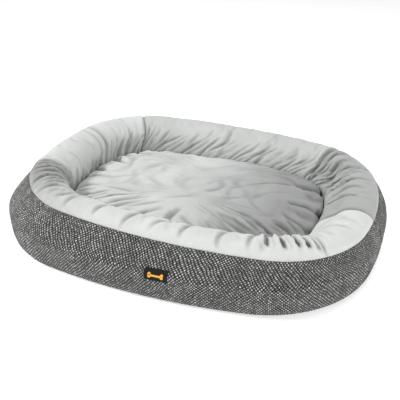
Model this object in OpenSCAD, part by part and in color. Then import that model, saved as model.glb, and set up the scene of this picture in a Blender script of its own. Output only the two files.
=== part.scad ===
// Bolster pet bed: an oval floor pad ringed by one stuffed bolster, tweed outside and plush inside,
// with a loose pillow that lies in the well. The cover opens with a zip along the foot of the back.
// Millimetres. The origin is the middle of the underside, on the ground. +X is the bed's length and
// the front, which carries the woven label, faces -Y.

/* [Overall size] */
// Length of the bed, left to right
bed_length = 750; // [640:5:900]
// Depth of the bed, front to back
bed_depth = 584; // [500:4:700]
// Height of the seam where the tweed wall meets the plush
rim_height = 100; // [92:1:125]
// How far the bolster's crown stands above the rim seam
crown_rise = 17; // [8:1:40]

/* [Plan outline] */
// Radius of the long front and back sides
side_radius = 1100; // [900:10:1300]
// Radius of the two ends
end_radius = 530; // [480:10:640]
// Radius of the four corners
corner_radius = 220; // [200:5:240]

/* [Bolster section] */
// How far the wall's foot is tucked in under its belly
foot_inset = 7; // [2:0.5:12]
// Height where the wall reaches its full width
belly_low = 40; // [34:1:46]
// Height where the wall starts to lean in
belly_high = 55; // [50:1:62]
// How far the rim seam is inside the belly
rim_inset = 35; // [20:1:45]
// How far the crown is inside the belly
crown_inset = 62; // [54:1:72]
// Distance from the belly to the bolster's inner face
bolster_width = 118; // [98:1:142]
// Height where the bolster reaches furthest into the well
inner_belly = 50; // [42:1:60]
// How far the inner face tucks back at its foot
inner_tuck = 2; // [0:0.5:6]
// Thickness of the tweed and of the plush, each with its lining
fabric = 2; // [1:0.25:3]

/* [Slump of the soft rim] */
// How far the stuffed rim has slumped to the right
rim_lean = 16; // [0:1:20]
// How much higher the rim stands at the left end than at the middle
rim_tilt = 14; // [0:1:16]

/* [Base] */
// Thickness of the non-slip underside
underside = 2; // [1:0.25:4]
// Thickness of the base padding
padding = 20; // [18:1:30]
// Thickness of the plush floor panel
floor_panel_height = 2; // [1:0.25:4]
// Gap between the base padding's edge and the foot of the wall
padding_gap = 7.5; // [6:0.5:12]

/* [Loose cushion] */
// Clear gap between the cushion and the bolster
cushion_gap = 3; // [2:0.5:8]
// Gap below the cushion, so that it lies on the floor panel without fusing to it
cushion_rest = 0.5; // [0.3:0.1:1]
// Height of the cushion's edge seam above its underside
cushion_seam = 22; // [16:1:28]
// Height of the cushion's crown above its underside
cushion_crown = 60; // [45:1:70]
// Thickness of the cushion's fabric
cushion_fabric = 1.5; // [1:0.25:2.5]

/* [Seams, as turns of the outline counted from the right end] */
// Where the front-right and front bolster panels meet
seam_front_corner = -45; // [-50:5:-35]
// Where the right and front-right bolster panels meet
seam_right = -5; // [-20:5:0]
// Where the back and right bolster panels meet
seam_back_right = 60; // [45:5:75]
// Where the back-left and back bolster panels meet
seam_back = 120; // [105:5:130]
// Where the left and back-left bolster panels meet
seam_back_left = 170; // [150:5:175]
// Where the front and left bolster panels meet
seam_left = 195; // [185:5:220]
// Where the front wall meets the right wall
wall_seam_right = -5; // [-10:5:10]
// Where the right wall meets the back wall
wall_seam_back = 65; // [50:5:75]
// Where the back wall meets the left wall
wall_seam_left = 175; // [160:5:190]
// Where the left wall meets the front wall
wall_seam_front = 245; // [230:5:250]

/* [Side label] */
// Width of the woven label
label_width = 41; // [30:1:70]
// Height of the woven label
label_height = 21; // [18:1:30]
// Thickness of the woven label
label_thick = 0.9; // [0.5:0.1:2]
// Distance of the label's middle to the right of the bed's middle
label_x = 37; // [-80:1:80]
// Height of the label's middle above the ground
label_z = 55; // [40:1:55]

/* [Zip] */
// Half of the zip opening, in degrees round the back side's centre
zip_half = 7.5; // [5:2.5:7.5]
// Depth of the zip tapes inside the belly
zip_inset = 9; // [8.5:0.5:10]
// Thickness of the zip tapes
tape_thick = 1.2; // [0.8:0.1:1.5]
// Slit between the two rows of the coil, where the slider's post runs
coil_slit = 1.2; // [1.1:0.1:2]
// Height of each row of the coil
coil_height = 1.8; // [1.2:0.1:2.5]
// How far each row of the coil stands out from the tape
coil_depth = 1.4; // [1:0.1:1.8]
// Clear gap round the slider and the pull
slide_gap = 0.3; // [0.3:0.05:0.5]
// Length of the slider
slider_length = 11; // [9:0.5:14]
// Height of the slider
slider_height = 8.4; // [7.4:0.2:10]
// Thickness of each of the slider's plates
slider_plate = 1.2; // [0.8:0.1:1.5]
// Radius of the pull's crossbar, which turns under the slider's bridge
crossbar_radius = 0.7; // [0.5:0.05:0.9]
// Length of the pull, from its crossbar to its tip
pull_length = 25; // [18:1:28]
// Thickness of the pull
pull_thick = 1.4; // [1:0.1:1.4]

/* [Hidden] */

TWEED = [0.40, 0.41, 0.40];
PLUSH = [0.80, 0.81, 0.80];
CUSHION_PLUSH = [0.68, 0.70, 0.69];
FILLING = [0.95, 0.95, 0.93];
UNDERSIDE = [0.16, 0.16, 0.17];
LABEL = [0.10, 0.08, 0.08];
ZIP_GREY = [0.25, 0.25, 0.26];
ZIP_METAL = [0.70, 0.71, 0.72];

half_length = bed_length / 2;
half_depth = bed_depth / 2;
crown_height = rim_height + crown_rise;

// Turning the outline by one of these steps makes one facet of a fabric panel
FINE_TURN = 2.5;
COARSE_TURN = 5;
// The sides are so much flatter than the corners that they take the fine step
FINE_ABOVE = 80;
// Smoothness of the zip's true arcs, and of the small round parts
ARC_SMOOTH = 720;
ROUND = 64;

// Distances of the end and side arcs' centres from the middle: each lies beyond it
end_offset = end_radius - half_length;
side_offset = side_radius - half_depth;

// The centre of the corner arc is where both of its neighbours' arcs touch it from inside
corner_to_side = side_radius - corner_radius;
corner_to_end = end_radius - corner_radius;
centres_apart = norm([end_offset, side_offset]);
corner_along = (corner_to_side ^ 2 - corner_to_end ^ 2 + centres_apart ^ 2) / (2 * centres_apart);
corner_across = sqrt(corner_to_side ^ 2 - corner_along ^ 2);
corner_centre = [
    (corner_across * side_offset - corner_along * end_offset) / centres_apart,
    (corner_across * end_offset + corner_along * side_offset) / centres_apart - side_offset
];
side_starts = atan2(corner_centre.y + side_offset, corner_centre.x);
end_stops = atan2(corner_centre.y, corner_centre.x + end_offset);

// Levels of the base, from the ground up
padding_top = underside + padding;
floor_top = padding_top + floor_panel_height;

// One direction of the outline's normal, brought into the first quarter turn
function whole_turn(a) = (a % 360 + 360) % 360;
function folded(a) =
    let (t = whole_turn(a))
    t <= 90 ? t : t <= 180 ? 180 - t : t <= 270 ? t - 180 : 360 - t;
function side_of(a) =
    let (t = whole_turn(a))
    [t <= 90 || t >= 270 ? 1 : -1, t <= 180 ? 1 : -1];

// The arc of the first quarter that has this normal, as its centre and its radius
function arc_of(t) =
    t <= end_stops ? [[-end_offset, 0], end_radius] :
    t >= side_starts ? [[0, -side_offset], side_radius] :
    [corner_centre, corner_radius];

// The point of the outline whose normal turns by a, moved out by the outset
function outline_at(a, outset) =
    let (t = folded(a), arc = arc_of(t), s = side_of(a))
    let (p = arc[0] + (arc[1] + outset) * [cos(t), sin(t)])
    [s.x * p.x, s.y * p.y];

// The turns at which a panel from one seam to the next has a row of points
function turns(from, to) =
    [for (a = [from : FINE_TURN : to]) if (a % COARSE_TURN == 0 || folded(a) > FINE_ABOVE) a];
function full_turns() = turns(0, 360 - FINE_TURN);
function outline(outset) = [for (a = full_turns()) outline_at(a, outset)];

// A soft rim slumps: above the belly it leans to the right and sinks towards the right end
function eased(u) = let (v = max(0, min(1, u))) v * v * (3 - 2 * v);
function slumped(p, z) =
    let (s = eased((z - belly_high) / (rim_height - belly_high)))
    [p.x + rim_lean * s, p.y, z - rim_tilt * s * p.x / half_length];

// The wall's outset at a height: an elliptic foot, an upright belly and a shoulder that leans in
SHOULDER_CURVE = 1.2;
function foot_outset(z) =
    -foot_inset * (1 - sqrt(1 - ((belly_low - z) / (belly_low - underside)) ^ 2));
function shoulder_outset(z) =
    -rim_inset * ((z - belly_high) / (rim_height - belly_high)) ^ SHOULDER_CURVE;
function wall_outset(z) =
    z < belly_low ? foot_outset(z) : z <= belly_high ? 0 : shoulder_outset(z);
shoulder_rise = rim_height - belly_high;
wall_levels = [
    underside, underside + padding / 3, floor_top, belly_low, belly_high,
    belly_high + shoulder_rise / 3, belly_high + shoulder_rise * 2 / 3, rim_height
];
wall_outer = [for (z = wall_levels) [wall_outset(z), z]];
wall_inner = [for (p = wall_outer) [p[0] - fabric, p[1]]];

// The plush runs from the rim seam over the crown and down the inner face, on two elliptic arcs
RIM_ARC = [0, 45];
INNER_ARC = [90 : -22.5 : 0];
inner_foot = -(bolster_width - inner_tuck);
function plush_profile(t) = concat(
    [for (a = RIM_ARC) [
        -crown_inset + (crown_inset - rim_inset - t) * cos(a),
        rim_height + (crown_height - t - rim_height) * sin(a)
    ]],
    [for (a = INNER_ARC) [
        -crown_inset - (bolster_width - crown_inset - t) * cos(a),
        inner_belly + (crown_height - t - inner_belly) * sin(a)
    ]],
    [[inner_foot + t, floor_top]]
);
plush_outer = plush_profile(0);
plush_inner = plush_profile(fabric);

// The filling takes up the space between the two skins, on top of the floor panel
WALL_ROWS_BELOW_FILLING = 2;
filling_section = concat(
    [for (i = [WALL_ROWS_BELOW_FILLING : len(wall_inner) - 1]) wall_inner[i]],
    [for (i = [1 : len(plush_inner) - 1]) plush_inner[i]]
);

// Rows of points in space: one row for each turn, with one point for each point of the profile
function rows(profile, at_turns) =
    [for (a = at_turns) [for (p = profile) slumped(outline_at(a, p[0]), p[1])]];

// Two triangles for a four-sided patch, whose corners run clockwise as seen from outside
function patch(a, b, c, d) = [[a, b, c], [a, c, d]];

// A sheet with thickness, from its outer and its inner rows of points. Sheets that meet at an edge
// split that edge's patches along the same diagonals, so their faces match.
module sheet(outer, inner) {
    turns_count = len(outer);
    levels = len(outer[0]);
    function o(i, j) = i * levels + j;
    function n(i, j) = turns_count * levels + i * levels + j;
    last_turn = turns_count - 1;
    last_level = levels - 1;
    faces_out = [for (i = [0 : last_turn - 1]) for (j = [0 : last_level - 1])
        each patch(o(i, j), o(i, j + 1), o(i + 1, j + 1), o(i + 1, j))];
    faces_in = [for (i = [0 : last_turn - 1]) for (j = [0 : last_level - 1])
        each patch(n(i, j), n(i + 1, j), n(i + 1, j + 1), n(i, j + 1))];
    edge_low = [for (i = [0 : last_turn - 1])
        each patch(o(i + 1, 0), n(i + 1, 0), n(i, 0), o(i, 0))];
    edge_high = [for (i = [0 : last_turn - 1])
        each patch(o(i + 1, last_level), o(i, last_level), n(i, last_level), n(i + 1, last_level))];
    edge_first = [for (j = [0 : last_level - 1])
        each patch(o(0, j + 1), o(0, j), n(0, j), n(0, j + 1))];
    edge_last = [for (j = [0 : last_level - 1])
        each patch(o(last_turn, j + 1), n(last_turn, j + 1), n(last_turn, j), o(last_turn, j))];
    polyhedron(
        points = [for (row = concat(outer, inner)) each row],
        faces = concat(faces_out, faces_in, edge_low, edge_high, edge_first, edge_last)
    );
}

// A closed ring, from rows of points that go round its section
module ring(around) {
    count = len(around);
    section = len(around[0]);
    function at(i, j) = (i % count) * section + j % section;
    polyhedron(
        points = [for (row = around) each row],
        faces = [for (i = [0 : count - 1]) for (j = [0 : section - 1])
            each patch(at(i, j), at(i, j + 1), at(i + 1, j + 1), at(i + 1, j))]
    );
}

// A closed pillow-like solid from an upper and a lower dome. Each dome is a list of rings from its
// edge to its middle, then the one point in the middle. Where the edges differ, a flat rim joins them.
module pillow(upper, upper_tip, lower, lower_tip) {
    count = len(upper[0]);
    rings = len(upper);
    function u(k, i) = k * count + i % count;
    function w(k, i) = (rings + k) * count + i % count;
    upper_point = 2 * rings * count;
    lower_point = upper_point + 1;
    top = [for (k = [0 : rings - 2]) for (i = [0 : count - 1])
        each patch(u(k, i), u(k + 1, i), u(k + 1, i + 1), u(k, i + 1))];
    bottom = [for (k = [0 : rings - 2]) for (i = [0 : count - 1])
        each patch(w(k, i), w(k, i + 1), w(k + 1, i + 1), w(k + 1, i))];
    tip_top = [for (i = [0 : count - 1]) [u(rings - 1, i), upper_point, u(rings - 1, i + 1)]];
    tip_bottom = [for (i = [0 : count - 1]) [w(rings - 1, i), w(rings - 1, i + 1), lower_point]];
    rim = [for (i = [0 : count - 1]) each patch(w(0, i), u(0, i), u(0, i + 1), w(0, i + 1))];
    polyhedron(
        points = concat([for (r = upper) each r], [for (r = lower) each r], [upper_tip, lower_tip]),
        faces = concat(top, bottom, tip_top, tip_bottom, rim)
    );
}

// One flat layer of the base, as wide as the outline moved out by the outset
module layer(outset, low, high) {
    translate([0, 0, low])
        linear_extrude(high - low)
            polygon(outline(outset));
}

module wall_panel(from, to) {
    at_turns = turns(from, to);
    color(TWEED)
        sheet(rows(wall_outer, at_turns), rows(wall_inner, at_turns));
}

module bolster_panel(from, to) {
    at_turns = turns(from, to);
    color(PLUSH)
        sheet(rows(plush_outer, at_turns), rows(plush_inner, at_turns));
}

module base_panel() {
    color(UNDERSIDE)
        layer(-foot_inset, 0, underside);
}

module base_padding() {
    color(FILLING)
        layer(-foot_inset - padding_gap, underside, padding_top);
}

// The floor panel's edge stays a little inside the wall's lining
FLOOR_EDGE_GAP = 0.4;
module floor_panel() {
    color(PLUSH)
        layer(wall_outset(padding_top) - fabric - FLOOR_EDGE_GAP, padding_top, floor_top);
}

module bolster_filling() {
    color(FILLING)
        ring(rows(filling_section, full_turns()));
}

// The strip of the back wall's foot that the zip takes the place of
WINDOW_DEPTH = 30;
WINDOW_MARGIN = 5;
module zip_window() {
    about_back_centre(-zip_half)
        rotate_extrude(angle = 2 * zip_half, $fn = ARC_SMOOTH)
            translate([side_radius - WINDOW_DEPTH + WINDOW_MARGIN, underside - WINDOW_MARGIN])
                square([WINDOW_DEPTH, padding + WINDOW_MARGIN]);
}

// Turns its children round the centre of the back side's arc, from the middle of the back
module about_back_centre(turn) {
    translate([0, -side_offset, 0])
        rotate([0, 0, 90 + turn])
            children();
}

// The label lies on the wall's own facets, so it takes their outset at each of its levels and bends
// at the wall's own turns
label_turn = 270 + asin(label_x / side_radius);
label_half_turn = asin(label_width / 2 / side_radius);
label_low = label_z - label_height / 2;
label_high = label_z + label_height / 2;
label_levels = concat(
    [label_low],
    [for (z = wall_levels) if (z > label_low && z < label_high) z],
    [label_high]
);
wall_table = [for (p = wall_outer) [p[1], p[0]]];
function label_profile(lift) = [for (z = label_levels) [lookup(z, wall_table) + lift, z]];

module side_label() {
    first = label_turn - label_half_turn;
    last = label_turn + label_half_turn;
    wall_turns = turns(wall_seam_front, wall_seam_right + 360);
    at_turns = concat([first], [for (a = wall_turns) if (a > first && a < last) a], [last]);
    color(LABEL)
        sheet(rows(label_profile(label_thick), at_turns), rows(label_profile(0), at_turns));
}

// The zip runs on true arcs about the back side's centre, halfway up the base padding
zip_level = underside + padding / 2;
tape_outer = side_radius - zip_inset;
coil_outer = tape_outer + coil_depth;
// The chain ends this many degrees before the tapes do, so that the pull can lie flat past the slider
TAPE_END_TURN = 1.2;
chain_half = zip_half - TAPE_END_TURN;
// Each end stop spans this turn, and the coil ends where the stop begins
STOP_TURN = 0.15;
coil_half = chain_half - STOP_TURN / 2;
// At rest the slider stands this far from the coil's end
END_CLEAR = 4;
slider_end = coil_half - asin((slider_length / 2 + END_CLEAR) / tape_outer);

// A strip on an arc about the back centre, from one radius and level to another
module arc_strip(half_turn, r_low, r_high, z_low, z_high) {
    about_back_centre(-half_turn)
        rotate_extrude(angle = 2 * half_turn, $fn = ARC_SMOOTH)
            translate([r_low, z_low])
                square([r_high - r_low, z_high - z_low]);
}

module zip_tape_upper() {
    color(ZIP_GREY)
        arc_strip(zip_half, tape_outer - tape_thick, tape_outer, zip_level + coil_slit / 2, padding_top);
}

module zip_tape_lower() {
    color(ZIP_GREY)
        arc_strip(zip_half, tape_outer - tape_thick, tape_outer, underside, zip_level - coil_slit / 2);
}

module zip_coil_upper() {
    low = zip_level + coil_slit / 2;
    color(ZIP_GREY)
        arc_strip(coil_half, tape_outer, coil_outer, low, low + coil_height);
}

module zip_coil_lower() {
    high = zip_level - coil_slit / 2;
    color(ZIP_GREY)
        arc_strip(coil_half, tape_outer, coil_outer, high - coil_height, high);
}

// Each end stop is a metal clip across both tapes, against the end of the coil
module zip_end_stops() {
    reach = coil_height + coil_slit / 2;
    for (end = [-1, 1])
        color(ZIP_METAL)
            about_back_centre(end * chain_half)
                rotate([0, 0, -STOP_TURN / 2])
                    rotate_extrude(angle = STOP_TURN, $fn = ARC_SMOOTH)
                        translate([tape_outer, zip_level - reach])
                            square([coil_depth, 2 * reach]);
}

// The slider in its own axes: +X out of the wall, +Y along the zip, +Z up, with its origin on the
// tapes' outer face at the middle of the chain
front_plate = coil_depth + slide_gap;
front_face = front_plate + slider_plate;
back_plate = -tape_thick - slide_gap;
POST_THICK = 0.5;
POST_LENGTH = 4;
FLANGE = 0.8;
crossbar_x = front_face + slide_gap + crossbar_radius;
bridge_inner = crossbar_x + crossbar_radius + slide_gap;
BRIDGE_THICK = 1;
BRIDGE_HEIGHT = 2.4;
// The bridge's legs stand clear of the crossbar by this much, which lets the pull's arms turn
LEG_CLEAR = 1.6;
bridge_leg = crossbar_radius + LEG_CLEAR;

module place_on_zip(turn) {
    about_back_centre(turn)
        translate([tape_outer, 0, zip_level])
            children();
}

// A block given by its low and high corners
module block(low, high) {
    translate(low)
        cube(high - low);
}

module zip_slider() {
    half_l = slider_length / 2;
    half_h = slider_height / 2;
    top = bridge_inner + BRIDGE_THICK;
    color(ZIP_METAL)
        place_on_zip(slider_end)
            union() {
                block([front_plate, -half_l, -half_h], [front_face, half_l, half_h]);
                block([back_plate - slider_plate, -half_l, -half_h], [back_plate, half_l, half_h]);
                block([back_plate, -POST_LENGTH / 2, -POST_THICK / 2],
                    [front_plate, POST_LENGTH / 2, POST_THICK / 2]);
                for (side = [-1, 1]) {
                    flange_z = side * (half_h - FLANGE / 2);
                    translate([slide_gap, -half_l, flange_z - FLANGE / 2])
                        cube([front_plate - slide_gap, slider_length, FLANGE]);
                    leg_y = side * (bridge_leg + BRIDGE_THICK / 2);
                    translate([front_face, leg_y - BRIDGE_THICK / 2, -BRIDGE_HEIGHT / 2])
                        cube([top - front_face, BRIDGE_THICK, BRIDGE_HEIGHT]);
                }
                block([bridge_inner, -bridge_leg, -BRIDGE_HEIGHT / 2],
                    [top, bridge_leg, BRIDGE_HEIGHT / 2]);
            }
}

// The pull lies along the zip from its crossbar. Its two arms pass above and below the bridge.
ARM_THICK = 1;
ARM_CLEAR = 0.5;
arm_inner = BRIDGE_HEIGHT / 2 + ARM_CLEAR;
pull_half = arm_inner + ARM_THICK;
bridge_corner = norm([bridge_inner + BRIDGE_THICK - crossbar_x, bridge_leg + BRIDGE_THICK]);
loop_end = bridge_corner + ARM_CLEAR;
module zip_pull() {
    tab_end = pull_length - pull_half;
    color(ZIP_METAL)
        place_on_zip(slider_end)
            translate([crossbar_x, 0, 0])
                union() {
                    translate([0, 0, -pull_half])
                        cylinder(r = crossbar_radius, h = 2 * pull_half, $fn = ROUND);
                    for (side = [-1, 1]) {
                        arm_z = side * (arm_inner + ARM_THICK / 2) - ARM_THICK / 2;
                        translate([-pull_thick / 2, -loop_end - ARM_THICK, arm_z])
                            cube([pull_thick, loop_end + ARM_THICK, ARM_THICK]);
                    }
                    block([-pull_thick / 2, -tab_end, -pull_half],
                        [pull_thick / 2, -loop_end, pull_half]);
                    translate([-pull_thick / 2, -tab_end, 0])
                        rotate([0, 90, 0])
                            cylinder(r = pull_half, h = pull_thick, $fn = ROUND);
                }
}

// The cushion's domes are copies of its outline, drawn in towards the middle and raised
cushion_outset = -bolster_width - cushion_gap;
cushion_floor = floor_top + cushion_rest;
cushion_seam_z = cushion_floor + cushion_seam;
CUSHION_RINGS = [1, 0.985, 0.95, 0.88, 0.75, 0.55, 0.3];
UPPER_FULLNESS = 4;
LOWER_FULLNESS = 10;
function dome(outset, rise, fullness) =
    [for (k = CUSHION_RINGS) [for (a = full_turns())
        let (p = outline_at(a, outset))
        [k * p.x, k * p.y, cushion_seam_z + rise * sqrt(1 - k ^ fullness)]]];
function dome_tip(rise) = [0, 0, cushion_seam_z + rise];
upper_rise = cushion_crown - cushion_seam;
lower_rise = -cushion_seam;
inner_outset = cushion_outset - cushion_fabric;

module cushion_top() {
    inner_rise = upper_rise - cushion_fabric;
    color(CUSHION_PLUSH)
        pillow(
            dome(cushion_outset, upper_rise, UPPER_FULLNESS), dome_tip(upper_rise),
            dome(inner_outset, inner_rise, UPPER_FULLNESS), dome_tip(inner_rise)
        );
}

module cushion_bottom() {
    inner_rise = lower_rise + cushion_fabric;
    color(CUSHION_PLUSH)
        pillow(
            dome(inner_outset, inner_rise, LOWER_FULLNESS), dome_tip(inner_rise),
            dome(cushion_outset, lower_rise, LOWER_FULLNESS), dome_tip(lower_rise)
        );
}

module cushion_filling() {
    top_rise = upper_rise - cushion_fabric;
    bottom_rise = lower_rise + cushion_fabric;
    upper = dome(inner_outset, top_rise, UPPER_FULLNESS);
    lower = dome(inner_outset, bottom_rise, LOWER_FULLNESS);
    color(FILLING)
        lens(upper, dome_tip(top_rise), lower, dome_tip(bottom_rise));
}

// A pillow whose two domes share their edge ring
module lens(upper, upper_tip, lower, lower_tip) {
    count = len(upper[0]);
    rings = len(upper);
    function u(k, i) = k * count + i % count;
    function w(k, i) = k == 0 ? u(0, i) : (rings + k - 1) * count + i % count;
    upper_point = (2 * rings - 1) * count;
    lower_point = upper_point + 1;
    top = [for (k = [0 : rings - 2]) for (i = [0 : count - 1])
        each patch(u(k, i), u(k + 1, i), u(k + 1, i + 1), u(k, i + 1))];
    bottom = [for (k = [0 : rings - 2]) for (i = [0 : count - 1])
        each patch(w(k, i), w(k, i + 1), w(k + 1, i + 1), w(k + 1, i))];
    tip_top = [for (i = [0 : count - 1]) [u(rings - 1, i), upper_point, u(rings - 1, i + 1)]];
    tip_bottom = [for (i = [0 : count - 1]) [w(rings - 1, i), w(rings - 1, i + 1), lower_point]];
    lower_rings = [for (k = [1 : rings - 1]) each lower[k]];
    polyhedron(
        points = concat([for (r = upper) each r], lower_rings, [upper_tip, lower_tip]),
        faces = concat(top, bottom, tip_top, tip_bottom)
    );
}

module wall_front() { wall_panel(wall_seam_front, wall_seam_right + 360); }
module wall_right() { wall_panel(wall_seam_right, wall_seam_back); }
module wall_back() {
    color(TWEED)
        difference() {
            wall_panel(wall_seam_back, wall_seam_left);
            zip_window();
        }
}
module wall_left() { wall_panel(wall_seam_left, wall_seam_front); }

module bolster_front() { bolster_panel(seam_left, seam_front_corner + 360); }
module bolster_front_right() { bolster_panel(seam_front_corner, seam_right); }
module bolster_right() { bolster_panel(seam_right, seam_back_right); }
module bolster_back() { bolster_panel(seam_back_right, seam_back); }
module bolster_back_left() { bolster_panel(seam_back, seam_back_left); }
module bolster_left() { bolster_panel(seam_back_left, seam_left); }

base_panel();
base_padding();
floor_panel();
bolster_filling();
wall_front();
wall_right();
wall_back();
wall_left();
bolster_front();
bolster_front_right();
bolster_right();
bolster_back();
bolster_back_left();
bolster_left();
side_label();
zip_tape_upper();
zip_tape_lower();
zip_coil_upper();
zip_coil_lower();
zip_end_stops();
zip_slider();
zip_pull();
cushion_bottom();
cushion_filling();
cushion_top();
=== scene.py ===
"""An oval bolster pet bed: tweed wall, plush bolster, loose plush cushion and a zip behind.

Everything is in metres, in the CAD frame: +Z up, the front and its label at -Y, the zip at +Y.
The plush covers are cut a little longer than the shape that they lie on. Their folds are drawn where
the cloth is gathered, a small cloth solver settles them, and part of their depth is added back after.
"""

import math

import bmesh
import bpy
import numpy as np
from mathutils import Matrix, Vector


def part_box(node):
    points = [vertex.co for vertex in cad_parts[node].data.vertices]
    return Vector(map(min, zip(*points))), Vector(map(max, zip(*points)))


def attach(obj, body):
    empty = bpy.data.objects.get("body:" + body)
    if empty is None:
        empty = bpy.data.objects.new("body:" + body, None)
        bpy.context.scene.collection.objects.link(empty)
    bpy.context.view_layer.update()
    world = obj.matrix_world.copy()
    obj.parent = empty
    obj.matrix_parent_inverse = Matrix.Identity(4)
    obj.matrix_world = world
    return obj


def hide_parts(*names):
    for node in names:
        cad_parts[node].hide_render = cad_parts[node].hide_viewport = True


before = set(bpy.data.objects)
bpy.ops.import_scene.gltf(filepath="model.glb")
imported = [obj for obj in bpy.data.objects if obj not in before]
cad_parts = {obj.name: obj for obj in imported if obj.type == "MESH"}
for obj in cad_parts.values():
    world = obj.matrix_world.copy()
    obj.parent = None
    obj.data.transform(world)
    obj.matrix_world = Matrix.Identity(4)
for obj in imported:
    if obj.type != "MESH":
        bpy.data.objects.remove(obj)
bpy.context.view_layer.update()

MM = 0.001
DRAWS = np.random.default_rng(11)


# --- the bed's shape, as in the CAD

HALF_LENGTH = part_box("wall_right")[1][0]
HALF_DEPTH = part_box("wall_back")[1][1]
SIDE_RADIUS, END_RADIUS, CORNER_RADIUS = 1100 * MM, 530 * MM, 220 * MM
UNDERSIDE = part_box("base_panel")[1][2]
FLOOR_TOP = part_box("floor_panel")[1][2]
BELLY_LOW, BELLY_HIGH, RIM_HEIGHT = 40 * MM, 55 * MM, 100 * MM
FOOT_INSET, RIM_INSET, CROWN_INSET = 7 * MM, 35 * MM, 62 * MM
CROWN_HEIGHT, INNER_BELLY = 117 * MM, 50 * MM
BOLSTER_WIDTH, INNER_TUCK = 118 * MM, 2 * MM
SHOULDER_CURVE = 1.2
RIM_LEAN, RIM_TILT = 16 * MM, 14 * MM

END_OFFSET = END_RADIUS - HALF_LENGTH
SIDE_OFFSET = SIDE_RADIUS - HALF_DEPTH


def corner_arc():
    """The corner arc's centre, and the turns where it meets the end's and the side's arcs."""
    to_side, to_end = SIDE_RADIUS - CORNER_RADIUS, END_RADIUS - CORNER_RADIUS
    apart = math.hypot(END_OFFSET, SIDE_OFFSET)
    along = (to_side**2 - to_end**2 + apart**2) / (2 * apart)
    across = math.sqrt(to_side**2 - along**2)
    x = (across * SIDE_OFFSET - along * END_OFFSET) / apart
    y = (across * END_OFFSET + along * SIDE_OFFSET) / apart - SIDE_OFFSET
    return (x, y), math.degrees(math.atan2(y, x + END_OFFSET)), math.degrees(math.atan2(y + SIDE_OFFSET, x))


CORNER, END_STOPS, SIDE_STARTS = corner_arc()


def arc_of(turn):
    """The centre and radius of the arc at each turn of the outline, and the side's signs."""
    whole = np.mod(turn, 360)
    folded = np.where(whole <= 90, whole, np.where(whole <= 180, 180 - whole,
                      np.where(whole <= 270, whole - 180, 360 - whole)))
    sx = np.where((whole <= 90) | (whole >= 270), 1.0, -1.0)
    sy = np.where(whole <= 180, 1.0, -1.0)
    at_end, at_side = folded <= END_STOPS, folded >= SIDE_STARTS
    cx = np.where(at_end, -END_OFFSET, np.where(at_side, 0, CORNER[0]))
    cy = np.where(at_end, 0, np.where(at_side, -SIDE_OFFSET, CORNER[1]))
    radius = np.where(at_end, END_RADIUS, np.where(at_side, SIDE_RADIUS, CORNER_RADIUS))
    return folded, sx, sy, cx, cy, radius


def outline_at(turn, outset):
    folded, sx, sy, cx, cy, radius = arc_of(turn)
    a = np.radians(folded)
    return sx * (cx + (radius + outset) * np.cos(a)), sy * (cy + (radius + outset) * np.sin(a))


def eased(u):
    u = np.clip(u, 0, 1)
    return u * u * (3 - 2 * u)


def slumped(x, y, z):
    """The soft rim leans to the right and sinks towards the right end."""
    s = eased((z - BELLY_HIGH) / (RIM_HEIGHT - BELLY_HIGH))
    return np.stack([x + RIM_LEAN * s, y + 0 * s, z - RIM_TILT * s * x / HALF_LENGTH], axis=-1)


def skin(turn, outset, z):
    """Points in space for arrays of turns, outsets and heights."""
    x, y = outline_at(turn, outset)
    return slumped(x, y, z)


# Length along the outline, at a chosen outset, for every turn
TURN_STEP = 0.05
ALL_TURNS = np.arange(-360, 720 + TURN_STEP, TURN_STEP)


def lengths_at(outset):
    radius = arc_of(ALL_TURNS)[-1] + outset
    steps = np.radians(TURN_STEP) * (radius[1:] + radius[:-1]) / 2
    return np.concatenate([[0], np.cumsum(steps)])


def grid_of(a, b):
    """Two arrays of the same grid, whose rows follow a and whose columns follow b."""
    return np.meshgrid(a, b, indexing="ij")


def run_along(points):
    """The length along a path at each of its points."""
    return np.concatenate([[0], np.cumsum(np.linalg.norm(np.diff(points, axis=0), axis=1))])


def bell(u):
    return np.exp(-u ** 2)


def ring_at(outset):
    """The length round the outline at an outset, and a function that places a turn along it."""
    lengths = lengths_at(outset)
    around = np.interp(360, ALL_TURNS, lengths) - np.interp(0, ALL_TURNS, lengths)
    return around, lambda turn: np.interp(turn, ALL_TURNS, lengths)


def along_ring(place, centre, around):
    """How far each place on a ring stands from a centre, the shorter way."""
    return (place - centre + around / 2) % around - around / 2


def even_turns(first, last, step, outset):
    """Turns from one seam to the next, evenly spaced along the outline."""
    lengths = lengths_at(outset)
    a, b = np.interp([first, last], ALL_TURNS, lengths)
    count = max(2, int(round((b - a) / step)) + 1)
    return np.interp(np.linspace(a, b, count), lengths, ALL_TURNS)


def resampled(points, step):
    """A profile again, with its points evenly spaced, and its length at each."""
    points = np.array(points, float)
    along = run_along(points)
    at = np.linspace(0, along[-1], max(2, int(round(along[-1] / step)) + 1))
    return np.stack([np.interp(at, along, points[:, k]) for k in range(points.shape[1])], axis=1), at


def wall_profile(low, high):
    z = np.linspace(low, high, 200)
    foot = -FOOT_INSET * (1 - np.sqrt(1 - (np.clip(BELLY_LOW - z, 0, None) / (BELLY_LOW - UNDERSIDE)) ** 2))
    lean = np.clip((z - BELLY_HIGH) / (RIM_HEIGHT - BELLY_HIGH), 0, None)
    return np.stack([foot - RIM_INSET * lean**SHOULDER_CURVE, z], axis=1)


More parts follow.
